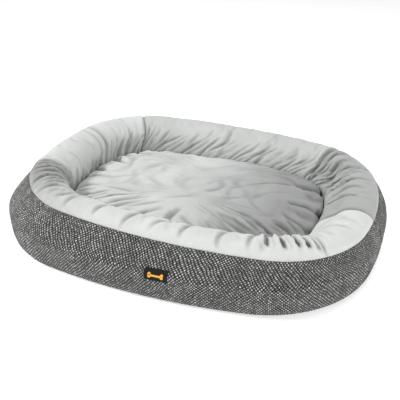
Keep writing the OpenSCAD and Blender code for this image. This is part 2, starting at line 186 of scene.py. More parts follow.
def plush_profile(inset=0.0):
    """From the rim seam over the crown and down the inner face to the floor."""
    a = np.radians(np.linspace(0, 90, 40))[:-1]
    rim = np.stack([-CROWN_INSET + (CROWN_INSET - RIM_INSET - inset) * np.cos(a),
                    RIM_HEIGHT + (CROWN_HEIGHT - inset - RIM_HEIGHT) * np.sin(a)], axis=1)
    a = np.radians(np.linspace(90, 0, 60))
    face = np.stack([-CROWN_INSET - (BOLSTER_WIDTH - CROWN_INSET - inset) * np.cos(a),
                     INNER_BELLY + (CROWN_HEIGHT - inset - INNER_BELLY) * np.sin(a)], axis=1)
    foot = [[-(BOLSTER_WIDTH - INNER_TUCK) + inset, FLOOR_TOP]]
    return np.concatenate([rim, face, foot])


# --- mesh helpers

def grid_faces(rows, columns, closed=False):
    """Quads of a grid of points, whose rows may close into a ring."""
    last = rows if closed else rows - 1
    i, j = grid_of(np.arange(last), np.arange(columns - 1))
    k = (i + 1) % rows
    return np.stack([i * columns + j, k * columns + j, k * columns + j + 1, i * columns + j + 1],
                    axis=-1).reshape(-1, 4)


def make_piece(name, points, faces, uv=None, smooth=True, relief=None):
    """A mesh object from arrays of points and of quads or triangles. uv and relief have a value for
    each point, and relief scales the pile's colour there: painted shade and highlight of its folds."""
    mesh = bpy.data.meshes.new(name)
    points = np.asarray(points, float).reshape(-1, 3)
    mesh.from_pydata(points.tolist(), [], [list(map(int, f)) for f in faces])
    if uv is not None:
        layer = mesh.uv_layers.new(name="UVMap")
        at = np.zeros(len(mesh.loops), np.int32)
        mesh.loops.foreach_get("vertex_index", at)
        layer.data.foreach_set("uv", np.asarray(uv, np.float32).reshape(-1, 2)[at].ravel())
    if relief is not None:
        layer = mesh.attributes.new("relief", "FLOAT", "POINT")
        layer.data.foreach_set("value", np.asarray(relief, np.float32).ravel())
    mesh.polygons.foreach_set("use_smooth", [smooth] * len(mesh.polygons))
    mesh.update()
    piece = bpy.data.objects.new(name, mesh)
    bpy.context.scene.collection.objects.link(piece)
    return piece


def finished(piece, body, material, slot, *nodes):
    """Gives a piece its material and its body, and hides the CAD nodes that it stands for. slot is not used.
    """
    piece.data.materials.append(material)
    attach(piece, body)
    if nodes:
        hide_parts(*nodes)
    return piece


def add_modifier(piece, kind, **settings):
    modifier = piece.modifiers.new(kind.title(), kind)
    for key, value in settings.items():
        setattr(modifier, key, value)
    return modifier


def applied(piece):
    """The same piece with its modifiers made part of its mesh."""
    graph = bpy.context.evaluated_depsgraph_get()
    mesh = bpy.data.meshes.new_from_object(piece.evaluated_get(graph))
    piece.modifiers.clear()
    piece.data = mesh
    return piece


def welded(piece, reach=0.02 * MM):
    """The same piece with points that fall together made one."""
    mesh = bmesh.new()
    mesh.from_mesh(piece.data)
    bmesh.ops.remove_doubles(mesh, verts=mesh.verts, dist=reach)
    mesh.to_mesh(piece.data)
    mesh.free()
    return piece


def closed_cloth(piece):
    """Cloth with its centre point made one and its real thickness."""
    add_modifier(welded(piece), "SOLIDIFY", thickness=CUSHION_THICK, offset=-1)
    return applied(piece)


def smooth_noise(shape, cells):
    """Smooth noise from -1 to 1 on a grid whose rows close into a ring."""
    rows, columns = shape
    a, b = cells
    coarse = DRAWS.uniform(-1, 1, (a, b))
    u, v = np.arange(rows) * a / rows, np.linspace(0, b - 1.001, columns)
    i, j = u.astype(int), v.astype(int)
    fu, fv = eased(u - i)[:, None], eased(v - j)[None, :]
    c = coarse[i % a][:, j] * (1 - fu) + coarse[(i + 1) % a][:, j] * fu
    d = coarse[i % a][:, j + 1] * (1 - fu) + coarse[(i + 1) % a][:, j + 1] * fu
    return c * (1 - fv) + d * fv


def plane_noise(x, y, cell):
    """Smooth noise from -1 to 1 over the ground plan, with one random value in each square cell."""
    u, v = (x - x.min()) / cell, (y - y.min()) / cell
    i, j = u.astype(int), v.astype(int)
    coarse = DRAWS.uniform(-1, 1, (i.max() + 2, j.max() + 2))
    fu, fv = eased(u - i), eased(v - j)
    near = coarse[i, j] * (1 - fu) + coarse[i + 1, j] * fu
    far = coarse[i, j + 1] * (1 - fu) + coarse[i + 1, j + 1] * fu
    return near * (1 - fv) + far * fv


def crumples(noise, sharpness):
    """Thin creases where smooth noise passes through zero."""
    return -(1 - np.abs(noise)) ** sharpness


# --- the cloth solver

CLOTH_PRESSURE = 0.004 * MM
CLOTH_STEPS, QUICK_STEPS = 40, 10
SPEED_KEPT = 0.9
# How firmly two points of cloth come back to their distance: when too far apart, and when too close
YARN_HOLD, SKEW_HOLD, BEND_HOLD = (0.9, 0.3), (0.25, 0.1), (0.1, 0.02)


def pull_together(p, w, a, b, rest, stretch, squeeze):
    """Moves each pair of points towards its rest length. squeeze is used where a pair is too short."""
    d = p[b] - p[a]
    length = np.sqrt((d * d).sum(-1)) + 1e-12
    wa, wb = w[a], w[b]
    share = wa + wb
    stiff = np.where(length > rest, stretch, squeeze)
    move = (stiff * (length - rest) / length / np.where(share > 0, share, 1))[..., None] * d
    p[a] += wa[..., None] * move
    p[b] -= wb[..., None] * move


def halves(count, span, closed):
    """Index pairs (i, i + span) in groups that share no point."""
    groups = []
    for phase in range(2):
        i = np.arange(count)
        i = i[(i // span) % 2 == phase]
        if not closed or count % (2 * span):
            i = i[i + span < count]
        groups.append((i, (i + span) % count))
    if closed and count % (2 * span):
        for k in range(span):
            groups.append((np.array([count - span + k]), np.array([k])))
    return groups


def surface_normals(p, closed):
    if closed:
        du = np.roll(p, -1, 0) - np.roll(p, 1, 0)
    else:
        du = np.gradient(p, axis=0)
    dv = np.gradient(p, axis=1)
    n = np.cross(du, dv)
    return n / (np.linalg.norm(n, axis=-1, keepdims=True) + 1e-12)


def settle(p, weight, full_u, full_v, limit):
    """Lays a ring of cloth down under pressure. full_u and full_v say how much longer the cloth is
    cut than the shape that it starts on, and limit moves points back to where they may be."""
    rows, columns = weight.shape
    rest_u = np.linalg.norm(np.roll(p, -1, 0) - p, axis=-1) * (1 + full_u)
    rest_v = np.linalg.norm(p[:, 1:] - p[:, :-1], axis=-1) * (1 + full_v)[:, :-1]
    nxt = np.roll(rest_u, -1, 0)
    long_u = rest_u + nxt
    long_v = rest_v[:, :-1] + rest_v[:, 1:]
    skew_u = (rest_u[:, :-1] + rest_u[:, 1:]) / 2
    skew_v = (rest_v + np.roll(rest_v, -1, 0)) / 2
    skew = np.sqrt(skew_u**2 + skew_v**2)
    pairs_u, pairs_2u = halves(rows, 1, True), halves(rows, 2, True)
    pairs_v, pairs_2v = halves(columns, 1, False), halves(columns, 2, False)
    before = p.copy()
    for _ in range(CLOTH_STEPS):
        moved = (p - before) * SPEED_KEPT * (weight > 0)[..., None]
        before = p.copy()
        p = p + moved + CLOTH_PRESSURE * surface_normals(p, True) * weight[..., None]
        for _ in range(2):
            for a, b in pairs_u:
                pull_together(p, weight, (a,), (b,), rest_u[a], *YARN_HOLD)
            for a, b in pairs_v:
                pull_together(p, weight, (slice(None), a), (slice(None), b), rest_v[:, a], *YARN_HOLD)
            for a, b in pairs_u:
                lo, hi = np.arange(columns - 1), np.arange(1, columns)
                pull_together(p, weight, np.ix_(a, lo), np.ix_(b, hi), skew[np.ix_(a, lo)], *SKEW_HOLD)
                pull_together(p, weight, np.ix_(a, hi), np.ix_(b, lo), skew[np.ix_(a, lo)], *SKEW_HOLD)
            for a, b in pairs_2u:
                pull_together(p, weight, (a,), (b,), long_u[a], *BEND_HOLD)
            for a, b in pairs_2v:
                pull_together(p, weight, (slice(None), a), (slice(None), b), long_v[:, a], *BEND_HOLD)
        p = limit(p)
    return p


# --- the camera

CAMERA_AZIMUTH, CAMERA_ELEVATION, CAMERA_DISTANCE = 20.97, 30.23, 1.225
SENSOR_WIDTH, FOCAL_LENGTH = 36, 52.15
SHIFT_X, SHIFT_Y = 0.0065, 0.042


def look_from(azimuth, elevation, distance, aim):
    a, e = math.radians(azimuth), math.radians(elevation)
    back = Vector((math.sin(a) * math.cos(e), -math.cos(a) * math.cos(e), math.sin(e)))
    camera = bpy.data.objects.new("Camera", bpy.data.cameras.new("Camera"))
    camera.location = Vector(aim) + back * distance
    camera.rotation_euler = back.to_track_quat("Z", "Y").to_euler()
    bpy.context.scene.collection.objects.link(camera)
    bpy.context.scene.camera = camera
    return camera


CAMERA = look_from(CAMERA_AZIMUTH, CAMERA_ELEVATION, CAMERA_DISTANCE, (0, 0, 0))
CAMERA.data.sensor_width, CAMERA.data.lens = SENSOR_WIDTH, FOCAL_LENGTH
CAMERA.data.shift_x, CAMERA.data.shift_y = SHIFT_X, SHIFT_Y


# --- materials

class Nodes:
    """A material's node graph, built by short calls."""

    def __init__(self, name):
        self.material = bpy.data.materials.new(name)
        self.material.use_nodes = True
        self.tree = self.material.node_tree
        self.shader = self.tree.nodes["Principled BSDF"]

    def add(self, kind, *inputs, **settings):
        """Adds a node. inputs are values or other sockets, in the order of its own inputs."""
        node = self.tree.nodes.new("ShaderNode" + kind)
        for key, value in settings.items():
            setattr(node, key, value)
        for socket, value in zip(node.inputs, inputs):
            self.put(value, socket)
        return node

    def put(self, value, socket):
        if hasattr(value, "links"):
            self.tree.links.new(value, socket)
        else:
            socket.default_value = value

    def math(self, operation, *inputs):
        return self.add("Math", *inputs, operation=operation).outputs[0]

    def mix(self, factor, a, b, blend="MIX"):
        node = self.add("Mix", data_type="RGBA", blend_type=blend)
        self.put(factor, node.inputs["Factor"])
        for value, socket in ((a, node.inputs[6]), (b, node.inputs[7])):
            self.put((*value, 1) if isinstance(value, tuple) else value, socket)
        return node.outputs[2]

    def noise(self, scale, detail, vector, roughness=0.5, distortion=0.0):
        node = self.add("TexNoise", noise_dimensions="3D")
        self.put(vector, node.inputs["Vector"])
        for key, value in (("Scale", scale), ("Detail", detail), ("Roughness", roughness),
                           ("Distortion", distortion)):
            node.inputs[key].default_value = value
        return node.outputs["Fac"]

    def remap(self, value, low, high, to_low=0.0, to_high=1.0):
        return self.add("MapRange", value, low, high, to_low, to_high).outputs[0]

    def place(self):
        return self.add("TexCoord").outputs["Object"]

    def uv(self):
        return self.add("TexCoord").outputs["UV"]

    def bump(self, height, strength, distance):
        node = self.add("Bump")
        node.inputs["Strength"].default_value = strength
        node.inputs["Distance"].default_value = distance
        self.put(height, node.inputs["Height"])
        self.tree.links.new(node.outputs[0], self.shader.inputs["Normal"])

    def set(self, **values):
        for key, value in values.items():
            self.put(value, self.shader.inputs[key.replace("_", " ")])
        return self.material


def scaled(tone, share):
    return tuple(min(1, c * share) for c in tone)


def plush_material(name, tone, nap, shade=None):
    """Short-pile plush: soft brushed patches, a fine pile and a pale sheen at grazing angles. Its colour is
    scaled by the relief attribute: painted shade in the valleys of its folds and painted highlight on the
    ridges.
    shade is (x from, x to, share): painted shade, the colour fading to share times itself past the second x,
    where the pile lies the other way to the light."""
    g = Nodes(name)
    at = g.place()
    brushed = g.noise(9, 3, at, 0.55, 0.6)
    streaks = g.noise(42, 3, at, 0.6, 1.2)
    pile = g.noise(1500, 2, at, 0.7)
    tuft = g.noise(480, 2, at, 0.6)
    patch = g.math("ADD", g.math("MULTIPLY", brushed, 0.7), g.math("MULTIPLY", streaks, 0.3))
    colour = g.mix(g.remap(patch, 0.32, 0.68), scaled(tone, 1 - nap), scaled(tone, 1 + nap * 0.8))
    fibre = g.mix(g.remap(pile, 0.3, 0.7), scaled(tone, 0.86), scaled(tone, 1.1))
    pile_colour = g.mix(0.35, colour, fibre)
    if shade:
        # Painted shade: past the second x the colour is multiplied down by share
        across = g.add("SeparateXYZ", at).outputs[0]
        painted_shade_share = g.remap(g.math("ADD", across, g.math("MULTIPLY", streaks, 0.05)), shade[0], shade[1])
        pile_colour = g.mix(painted_shade_share, pile_colour, (shade[2],) * 3, "MULTIPLY")
    # The relief attribute scales the colour: painted shade in the folds' valleys, painted highlight on their
    # ridges
    relief = g.add("Attribute", attribute_name="relief").outputs["Fac"]
    painted_shade_colour = g.add("VectorMath", pile_colour, operation="SCALE")
    g.put(relief, painted_shade_colour.inputs["Scale"])
    g.set(Base_Color=painted_shade_colour.outputs[0], Roughness=g.remap(tuft, 0.3, 0.7, 0.72, 0.92),
          Sheen_Weight=0.3, Sheen_Roughness=0.42, Sheen_Tint=(0.97, 0.98, 1, 1), Specular_IOR_Level=0.22)
    g.bump(g.math("ADD", g.math("MULTIPLY", pile, 0.6), g.math("MULTIPLY", tuft, 0.8)), 0.35, 0.0008)
    return g.material


def tweed_material():
    """Basket weave that wanders a little, with one yarn crossing in each unit square of the UV map:
    light yarns across half of the squares, dark yarns down the others, each with its own flecks, and
    painted shade at the edges of each square, where the yarns dip into the gaps between them."""
    g = Nodes("tweed")
    sway = [g.math("ADD", g.remap(g.noise(broad, 2, g.place()), 0.3, 0.7, -1.2, 1.2),
                   g.remap(g.noise(fine, 2, g.place()), 0.3, 0.7, -0.3, 0.3))
            for broad, fine in ((9, 70), (12, 85))]
    uv = g.add("VectorMath", g.uv(), g.add("CombineXYZ", *sway).outputs[0], operation="ADD").outputs[0]
    cell = g.add("VectorMath", uv, operation="FLOOR").outputs[0]
    inside = g.add("VectorMath", uv, operation="FRACTION").outputs[0]
    split, whole = g.add("SeparateXYZ", inside), g.add("SeparateXYZ", cell)
    x, y = split.outputs[0], split.outputs[1]
    parity = g.math("PINGPONG", g.math("ADD", whole.outputs[0], whole.outputs[1]), 1.0)
    cast = g.add("TexWhiteNoise", cell, noise_dimensions="3D").outputs[0]
    yarn_down = g.add("TexWhiteNoise", g.add("CombineXYZ", whole.outputs[0], 0.0, 3.0).outputs[0],
                      noise_dimensions="3D").outputs[0]
    dark = g.mix(cast, (0.018, 0.019, 0.018), (0.085, 0.088, 0.084))
    light = g.mix(cast, (0.26, 0.266, 0.254), (0.80, 0.82, 0.785))
    shade = g.mix(g.remap(yarn_down, 0, 1, 0, 0.45), light, (0.10, 0.103, 0.10))
    colour = g.mix(parity, dark, shade)
    edge_x = g.math("SINE", g.math("MULTIPLY", x, math.pi))
    edge_y = g.math("SINE", g.math("MULTIPLY", y, math.pi))
    painted_yarn_shade = g.math("MULTIPLY", edge_x, edge_y)
    strands = []
    for stretch in ((2.0, 16.0, 1.0), (16.0, 2.0, 1.0)):
        along = g.add("VectorMath", uv, stretch, operation="MULTIPLY").outputs[0]
        strands.append(g.noise(1.0, 3, along, 0.6, 0.4))
    ply = g.add("Mix", data_type="FLOAT")
    for value, socket in ((parity, 0), (strands[1], 2), (strands[0], 3)):
        g.put(value, ply.inputs[socket])
    ply = ply.outputs[0]
    fibres = g.noise(1300, 3, g.place(), 0.65)
    # Painted shade: each yarn's colour darkens to near black towards the edges of its square, where the gaps
    # between yarns lie in shadow
    painted_shade_colour = g.mix(g.remap(painted_yarn_shade, 0.05, 0.6), (0.012, 0.012, 0.012), colour)
    spun = g.mix(g.remap(ply, 0.35, 0.75, 0.0, 0.4), painted_shade_colour, (0.015, 0.015, 0.015))
    fleck = g.mix(g.remap(fibres, 0.6, 0.75), spun, (0.50, 0.51, 0.49))
    g.set(Base_Color=g.mix(0.3, spun, fleck), Roughness=g.remap(fibres, 0.3, 0.7, 0.78, 0.95),
          Sheen_Weight=0.12, Sheen_Roughness=0.5, Specular_IOR_Level=0.2)
    g.bump(g.math("ADD", fibres, g.math("MULTIPLY", ply, 1.5)), 0.5, 0.0006)
    return g.material


def woven_material(name, tone, scale, contrast=0.25, roughness=0.85):
    """A fine plain weave: ribs both ways, finer than the eye resolves from the front."""
    g = Nodes(name)
    at = g.place()
    split = g.add("SeparateXYZ", at)
    ribs = [g.math("SINE", g.math("MULTIPLY", split.outputs[k], scale)) for k in range(3)]
    weave = g.math("ADD", g.math("MULTIPLY", ribs[0], ribs[2]), g.math("MULTIPLY", ribs[1], 0.3))
    fuzz = g.noise(900, 3, at, 0.6)
    colour = g.mix(g.remap(weave, -1, 1), scaled(tone, 1 - contrast), scaled(tone, 1 + contrast))
    g.set(Base_Color=g.mix(g.remap(fuzz, 0.3, 0.7, 0, 0.4), colour, scaled(tone, 1.25)),
          Roughness=g.remap(fuzz, 0.3, 0.7, roughness - 0.08, roughness + 0.08), Specular_IOR_Level=0.25)
    g.bump(g.math("ADD", weave, fuzz), 0.4, 0.0003)
    return g.material


def fibre_material():
    g = Nodes("filling")
    at = g.place()
    clumps, strands = g.noise(38, 4, at, 0.6), g.noise(700, 4, at, 0.7, 2.0)
    colour = g.mix(g.remap(clumps, 0.3, 0.7), (0.80, 0.80, 0.77), (0.93, 0.93, 0.91))
    g.set(Base_Color=g.mix(g.remap(strands, 0.3, 0.7, 0, 0.5), colour, (0.97, 0.97, 0.95)),
          Roughness=0.95, Sheen_Weight=0.3, Sheen_Roughness=0.6)
    g.bump(g.math("ADD", clumps, strands), 0.8, 0.003)
    return g.material


def metal_material():
    g = Nodes("zip_metal")
    at = g.place()
    brush, wear = g.noise(2600, 2, at, 0.5), g.noise(260, 3, at, 0.6)
    g.set(Base_Color=g.mix(g.remap(wear, 0.35, 0.7), (0.50, 0.51, 0.52), (0.72, 0.73, 0.74)), Metallic=1.0,
          Roughness=g.remap(g.math("ADD", brush, wear), 0.7, 1.4, 0.24, 0.45))
    g.bump(brush, 0.12, 0.0001)
    return g.material


TWEED = tweed_material()
FILLING = fibre_material()
METAL = metal_material()
FLOOR_PLUSH = plush_material("floor_plush", (0.42, 0.43, 0.425), 0.12)
# The cushion's plush carries painted shade, darker towards its right end
CUSHION_PLUSH = plush_material("cushion_plush", (0.55, 0.56, 0.55), 0.16, shade=(-0.02, 0.2, 0.5))
UNDERSIDE_CLOTH = woven_material("underside_cloth", (0.06, 0.06, 0.063), 2600)
ZIP_CLOTH = woven_material("zip_cloth", (0.035, 0.035, 0.038), 5200)
LABEL_CLOTH = woven_material("label_cloth", (0.006, 0.0045, 0.004), 7800, 0.15, 0.7)
AMBER_THREAD = woven_material("amber_thread", (0.86, 0.40, 0.055), 9000, 0.3, 0.5)
DARK_THREAD = woven_material("dark_thread", (0.03, 0.026, 0.024), 12000, 0.3, 0.6)
PALE_THREAD = woven_material("pale_thread", (0.42, 0.43, 0.42), 12000, 0.2, 0.6)
ZIP_PLASTIC = woven_material("zip_plastic", (0.03, 0.03, 0.032), 14000, 0.1, 0.35)
GRIP = woven_material("grip_dots", (0.015, 0.015, 0.016), 3000, 0.15, 0.5)


# --- folds

# How much a fine and a broad valley darken the pile with painted shade, per depth, and the least and most of
# this painted light
FOLD_SHADE_FINE, FOLD_SHADE_BROAD = 0.09 / (0.35 * MM), 0.12 / (1.2 * MM)
FOLD_SHADE_RANGE = (0.62, 1.05)


def blurred(w, reach):
    """A ring of values averaged over reach points each way."""
    total = w.copy()
    for k in range(1, reach + 1):
        total = total + np.roll(w, k, 0) + np.roll(w, -k, 0)
    across = total / (2 * reach + 1)
    padded = np.concatenate([across[:, :1]] * reach + [across] + [across[:, -1:]] * reach, axis=1)
    return sum(padded[:, k:k + w.shape[1]] for k in range(2 * reach + 1)) / (2 * reach + 1)


def painted_fold_shade(p):
    """Painted shade in the cloth's valleys and painted highlight on its ridges, where the pile also closes up
    and opens.
    """
    out = surface_normals(p, True)
    fine, broad = (((p - blurred(p, reach)) * out).sum(-1) for reach in (2, 6))
    return blurred(np.clip(1 + FOLD_SHADE_FINE * fine + FOLD_SHADE_BROAD * broad, *FOLD_SHADE_RANGE), 1)


def fold_lines(s, t, around, lines):
    """Heights of folds on a ring of cloth. s and t are lengths along it and down it. Each line is
    (start, end, bow, depth, width), with (s, t) at its two ends: a valley between two soft ridges."""
    height = np.zeros(np.broadcast(s, t).shape)
    for (s0, t0), (s1, t1), bow, depth, width in lines:
        run = math.hypot(s1 - s0, t1 - t0)
        along, across = (s1 - s0) / run, (t1 - t0) / run
        ds, dt = along_ring(s, s0, around), t - t0
        a = (ds * along + dt * across) / run
        inside = np.clip(a, 0, 1)
        off = dt * along - ds * across - bow * 4 * inside * (1 - inside)
        fade = np.sin(np.pi * (0.05 + 0.9 * inside)) ** 0.6 * bell((a - inside) * run / width)
        near = bell((off - 2.0 * width) / (1.5 * width))
        far = bell((off + 2.1 * width) / (1.6 * width))
        height += depth * fade * (0.5 * near + 0.3 * far - bell(off / width))
    return height


def spread_folds(place_of, first, last, count, start, end, lean, bow, depth, width):
    """Folds side by side between two turns, each a little different from the next. start and end are
    lengths down the cloth, and lean is how far a fold's far end stands along the outline."""
    apart = abs(place_of(last) - place_of(first)) / count
    lines = []
    for turn in np.linspace(first, last, count):
        s = place_of(turn) + DRAWS.uniform(-0.3, 0.3) * apart
        a, b = start + DRAWS.uniform(-0.1, 0.15) * (end - start), end - DRAWS.uniform(0, 0.5) * (end - start)
        skewed = lean * DRAWS.uniform(0.5, 1.5) + DRAWS.uniform(-4, 4) * MM
        bows, depths = bow * DRAWS.uniform(0.6, 1.4), depth * DRAWS.uniform(0.6, 1.25)
        lines.append(((s, a), (s + skewed, b), bows, depths, width * DRAWS.uniform(0.85, 1.25)))
    return lines


def folds_of(table, place_of):
    """The folds of a table, whose rows give two turns, a count and sizes in mm."""
    lines = []
    for first, last, count, *sizes in table:
        lines += spread_folds(place_of, first, last, count, *(size * MM for size in sizes))
    return lines


# --- the bolster

BOLSTER_STEP = 2.3 * MM
SEAM_DEPTH = 4.5 * MM
PLUSH_THICK = 1.6 * MM
PANELS = (
    ("bolster_front_right", -45, -5), ("bolster_right", -5, 60), ("bolster_back", 60, 120),
    ("bolster_back_left", 120, 170), ("bolster_left", 170, 195), ("bolster_front", 195, 315),
)
# Each panel's tone: one grey plush, painted lighter on some panels and darker on others for the sheen and
# shade of its pile, whose nap lies a different way to the light on each
PLUSH_TONES_WITH_PAINTED_SHEEN = {
    "bolster_front": (0.57, 0.58, 0.56), "bolster_front_right": (0.58, 0.59, 0.57),
    "bolster_right": (0.36, 0.37, 0.36), "bolster_back": (0.46, 0.47, 0.46),
    "bolster_back_left": (0.56, 0.57, 0.56), "bolster_left": (0.54, 0.55, 0.535),
}
# Painted shade on the front panel, darker towards its left end: x from, x to and share
FRONT_SHADE = (-0.07, -0.27, 0.48)
# Folds of the cover: turns from and to, how many, lengths down the cover from the rim seam in mm,
# how far the lower end stands along the outline, bow, depth and width in mm
COVER_FOLDS = (
    (2, 56, 9, 140, 6, 6, 18, 6.5, 5.0),
    (6, 50, 7, 112, 26, 4, 14, 4.5, 4.2),
    (64, 116, 13, 150, 40, 6, 4, 3.2, 6.0),
    (124, 164, 11, 158, 70, 4, 3, 5.5, 4.2),
    (173, 193, 11, 166, 98, 2, 2, 8.5, 3.6),
    (176, 190, 3, 8, 60, 18, 3, 2.4, 6.0),
    (200, 234, 14, 2, 110, -14, -5, 4.8, 3.5),
    (236, 282, 16, 8, 84, 20, 6, 2.8, 3.9),
    (-39, -10, 5, 24, 120, 20, 8, 2.2, 7.0),
)
# The pinches where the front cover is eased into its corner: the turn and length down the cover of each
# end, then bow, depth and width in mm
PINCHES = (
    (284, 26, 282, 74, 1, 7.5, 2.5), (294, 22, 291.5, 74, 3, 9.5, 2.5), (302, 26, 298, 72, -2, 9.5, 2.5),
    (308, 20, 304.5, 64, 2, 8.5, 2.5), (313.5, 10, 311, 52, 3, 6.5, 2.6),
)
# The stitched lines beside the two left seams: the seam's turn, and the line's distance and depth in mm
SEAM_LINES = ((195, 8, 6.5), (195, 0, 4.5), (195, -8, 6.0), (170, 0, 4.0), (170, 24, 4.5))
SEAM_LINE_WIDTH = 2.3 * MM
STITCHED_TURNS = (170, 195)
# How far the settled cover may stand out, sink in and slip along, and how much longer it is cut
COVER_OUT, COVER_OUT_LESS, COVER_IN, COVER_SLIP = 7 * MM, 5 * MM, 11 * MM, 8 * MM
COVER_FULLNESS = 0.015
# Lumps of the filling that show: noise cells along and down the cover, and height in mm
COVER_LUMPS = (((58, 4), 1.5), ((170, 8), 0.5))
CREASE_CELLS, CREASE_SHARPNESS, CREASE_DEPTH = ((46, 5), (110, 6)), 5, 1.5 * MM
SEAM_REACH = 3.2 * MM
# The shares of the pinches' and of all the folds' depths that are added after settling
PINCH_CRISP, FOLD_CRISP = 0.35, 0.4


def cover_folds(turns, along):
    """Heights of the folds over the whole cover: the ones that the cloth settles over, and the
    stitched lines and pinches that stay crisp."""
    around, place_of = ring_at(-CROWN_INSET)
    lines = folds_of(COVER_FOLDS, place_of)
    for turn, start, far_turn, end, bow, depth, width in PINCHES:
        ends = (place_of(turn), start * MM), (place_of(far_turn), end * MM)
        lines.append((*ends, bow * MM, depth * MM, width * MM))
    s, t = place_of(turns)[:, None], along[None, :]
    broad = fold_lines(s, t, around, lines)
    crisp = PINCH_CRISP * fold_lines(s, t, around, lines[-len(PINCHES):])
    for turn, away, depth in SEAM_LINES:
        off = along_ring(s, place_of(turn) + away * MM, around)
        line = bell(off / SEAM_LINE_WIDTH) - 0.35 * bell(off / (2.2 * SEAM_LINE_WIDTH))
        crisp -= depth * MM * line * np.sin(np.pi * t / along[-1]) ** 0.4
    return broad, crisp


def bolster_cloth():
    """The plush cover as one ring of cloth, and the rows where its panels meet."""
    turns, starts = [], []
    for _, first, last in PANELS:
        starts.append(sum(len(t) for t in turns))
        turns.append(even_turns(first, last, BOLSTER_STEP, -CROWN_INSET)[:-1])
    turns = np.concatenate(turns)
    profile, along = resampled(plush_profile(), BOLSTER_STEP)
    down = along / along[-1]
    rows, columns = len(turns), len(profile)
    nominal = skin(turns[:, None], profile[None, :, 0], profile[None, :, 1])
    normals = surface_normals(nominal, True)

    # At each seam the cover is drawn into the filling
    weight = np.ones((rows, columns))
    weight[:, 0] = weight[:, -1] = 0
    held = np.sin(np.pi * np.clip(down, 0, 1)) ** 0.4
    broad, crisp = cover_folds(turns, along)
    height = broad * held
    for cells, rise in COVER_LUMPS:
        height += smooth_noise((rows, columns), cells) * rise * MM * held
    around, place_of = ring_at(-CROWN_INSET)
    place = place_of(turns)
    wander = smooth_noise((rows, columns), CREASE_CELLS[0])
    wander = wander + 0.4 * smooth_noise((rows, columns), CREASE_CELLS[1])
    height += crumples(wander, CREASE_SHARPNESS) * CREASE_DEPTH * held
    for start in starts:
        drawn = bell(along_ring(place, place[start], around) / SEAM_REACH)[:, None]
        height = height * (1 - drawn) - SEAM_DEPTH * held * drawn
        weight[start] = 0
    p = nominal + normals * height[..., None]

    fullness = np.full((rows, columns), COVER_FULLNESS)
    cap = (COVER_OUT - COVER_OUT_LESS * eased((down - 0.25) / 0.4)) * np.sin(np.pi * down) ** 0.5

    def limit(q):
        away = q - nominal
        out = (away * normals).sum(-1)
        flat = away - out[..., None] * normals
        size = np.linalg.norm(flat, axis=-1) + 1e-12
        flat *= np.minimum(1, COVER_SLIP / size)[..., None]
        out = np.clip(out, -COVER_IN, cap[None, :])
        return nominal + flat + out[..., None] * normals

    p = settle(p, weight, fullness, fullness * 0.5, limit)
    # The cloth is crowded at the inside of the corners, and its folds stay soft there
    room = np.linalg.norm(np.roll(nominal, -1, 0) - nominal, axis=-1) / BOLSTER_STEP
    crisp += FOLD_CRISP * broad * np.clip(room, 0, 1) ** 2
    p = p + surface_normals(p, True) * (crisp * held * (weight > 0))[..., None]
    return p, starts


def build_bolster():
    """The six plush panels, cut from the one ring of cloth at its seams."""
    p, starts = bolster_cloth()
    # Painted shade in the cover's valleys and painted highlight on its ridges
    relief = painted_fold_shade(p)
    rows, columns = p.shape[:2]
    for (name, *_), start, end in zip(PANELS, starts, starts[1:] + [rows]):
        take = np.arange(start, end + 1) % rows
        uv = np.stack(grid_of(np.arange(len(take)), np.arange(columns)), -1) * BOLSTER_STEP
        piece = make_piece(name + "_cover", p[take], grid_faces(len(take), columns), uv, relief=relief[take])
        add_modifier(piece, "SOLIDIFY", thickness=PLUSH_THICK, offset=-1)
        shade = FRONT_SHADE if name == "bolster_front" else None
        plush = plush_material(name + "_plush", PLUSH_TONES_WITH_PAINTED_SHEEN[name], 0.13, shade=shade)
        finished(applied(piece), "bed_shell", plush, "plush", name)
    return p, starts


FILL_STEP = 9 * MM
FILL_INSET, WALL_GAP = 17 * MM, 4 * MM
FILL_LUMP_CELLS, FILL_LUMP = (60, 6), 1.5 * MM


def build_filling():
    """The loose fibre that the cover holds, drawn in behind its deepest seam."""
    turns = even_turns(0, 360, FILL_STEP, -CROWN_INSET)[:-1]
    wall = wall_profile(FLOOR_TOP, RIM_HEIGHT) - [WALL_GAP, 0]
    plush = plush_profile(FILL_INSET)
    ring = np.concatenate([wall[wall[:, 1] < RIM_HEIGHT - FILL_INSET], plush[plush[:, 1] > FLOOR_TOP]])
    ring, _ = resampled(np.concatenate([ring, ring[:1]]), FILL_STEP)
    p = skin(turns[:, None], ring[None, :, 0], ring[None, :, 1])
    lumps = smooth_noise(p.shape[:2], FILL_LUMP_CELLS) * FILL_LUMP
    lumps[:, -1] = lumps[:, 0]
    p = p - surface_normals(p, True) * (FILL_LUMP + lumps)[..., None]
    p[:, -1] = p[:, 0]
    piece = welded(make_piece("bolster_fibre", p, grid_faces(len(turns), len(ring), True)))
    finished(piece, "bed_shell", FILLING, "filling", "bolster_filling")


# --- the loose cushion

CUSHION_LOW, CUSHION_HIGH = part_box("cushion_bottom")[0][2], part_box("cushion_top")[1][2]
CUSHION_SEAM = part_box("cushion_top")[0][2]
CUSHION_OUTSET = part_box("cushion_top")[1][0] - HALF_LENGTH
CUSHION_STEP, CUSHION_THICK = 3 * MM, 1.4 * MM
# As for the cover, with lengths inwards from the cushion's seam
CUSHION_FOLDS = (
    (-30, 22, 6, -4, 52, -10, 6, 17.0, 7.0),
    (-76, -34, 9, -4, 84, -18, 8, 8.5, 7.0),
    (232, 284, 12, -2, 92, 24, 10, 7.0, 8.0),
    (176, 222, 7, -2, 66, 12, 6, 7.0, 7.5),
    (40, 170, 15, -2, 60, 10, 8, 6.5, 8.0),
)
